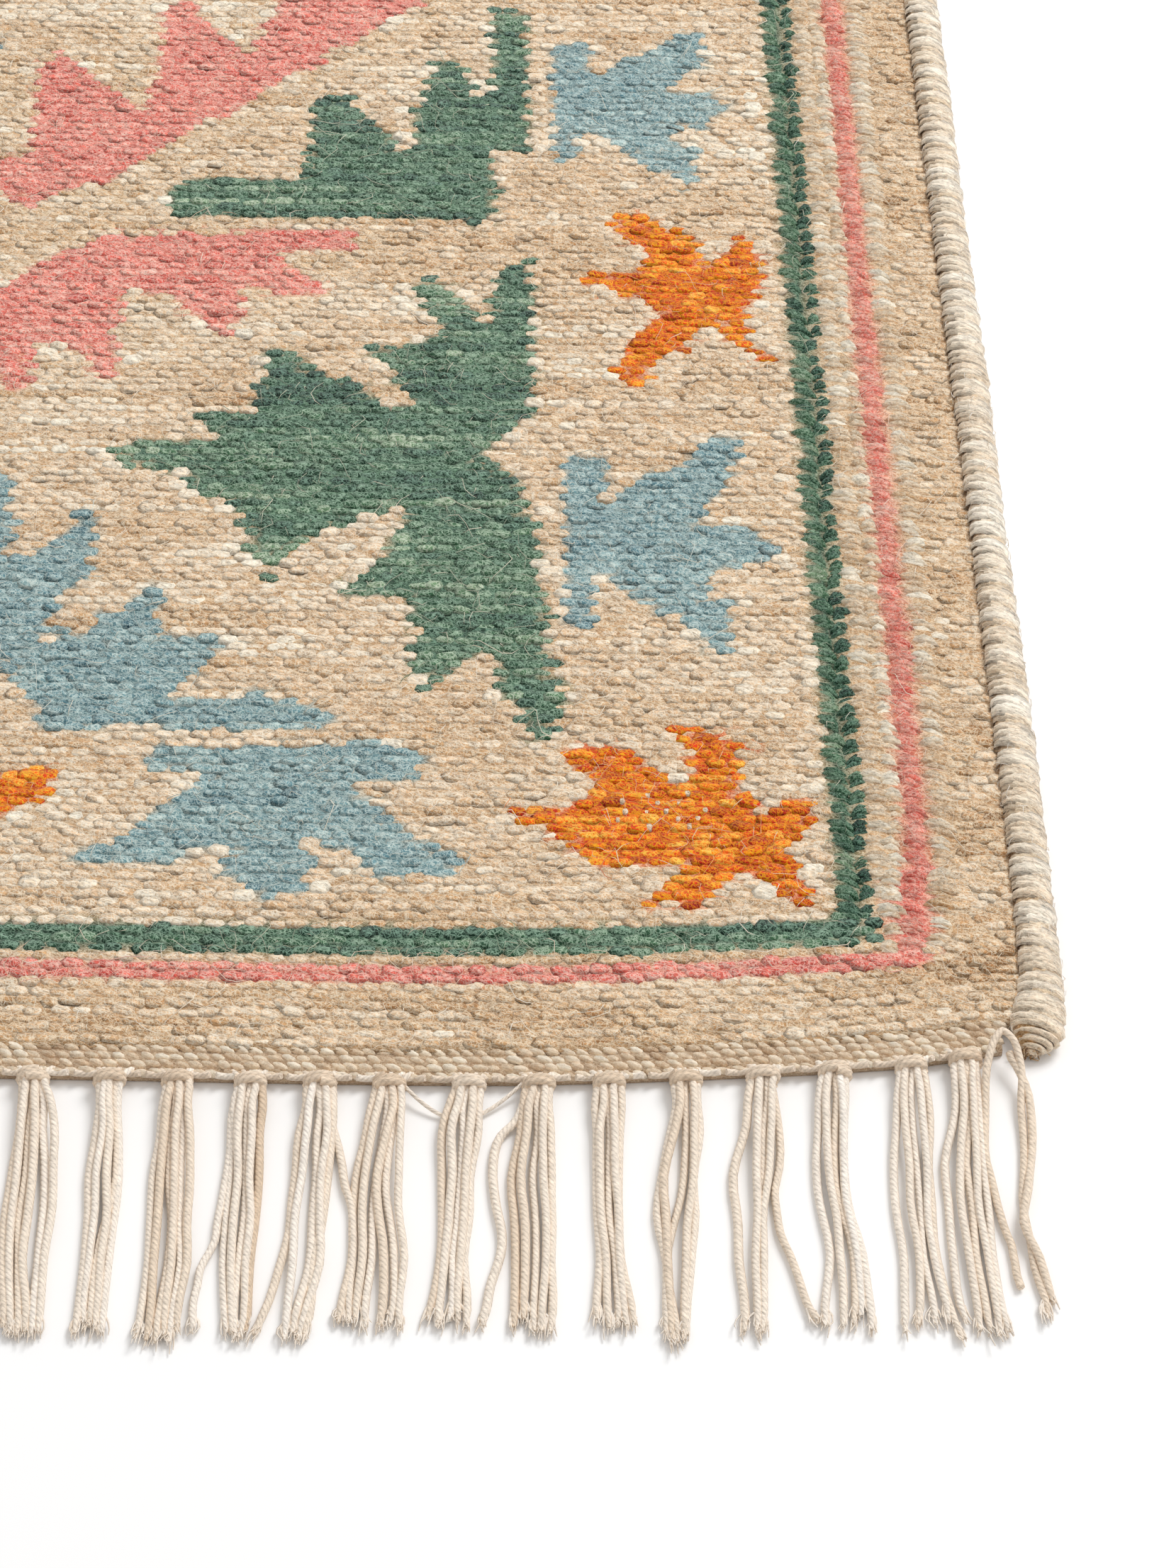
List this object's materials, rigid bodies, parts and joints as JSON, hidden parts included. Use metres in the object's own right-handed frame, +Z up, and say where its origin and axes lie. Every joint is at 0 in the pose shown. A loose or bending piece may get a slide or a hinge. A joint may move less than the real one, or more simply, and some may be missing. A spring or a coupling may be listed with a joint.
{
  "type": "kilim rug",
  "caption": "Small flat-woven wool rug with tapestry leaf motifs and striped border, wrapped side edges, twined ends and a knotted cotton fringe.",
  "frame": {"origin": "under the middle of the rug, on the floor it lies on", "axes": "+Y along the warps to the back fringe, +X across to the right selvedge, +Z up from the floor"},
  "size_m": [0.6, 1, 0.0075],
  "materials": {
    "kilim_wool": "weft-faced tapestry weave of heathered hand-spun wool, matt and hairy",
    "pale_wool": "pale undyed wool yarn wrapped over the outer warps, matt",
    "cotton_cord": "cream plied cotton cord, matt"
  },
  "bodies": {
    "root": {"kilim_panel": "kilim_wool", "selvedge_right": "pale_wool", "selvedge_left": "pale_wool", "heading_front": "cotton_cord", "heading_back": "cotton_cord", "fringe_front": "cotton_cord", "fringe_back": "cotton_cord"}
  },
  "joints": []
}
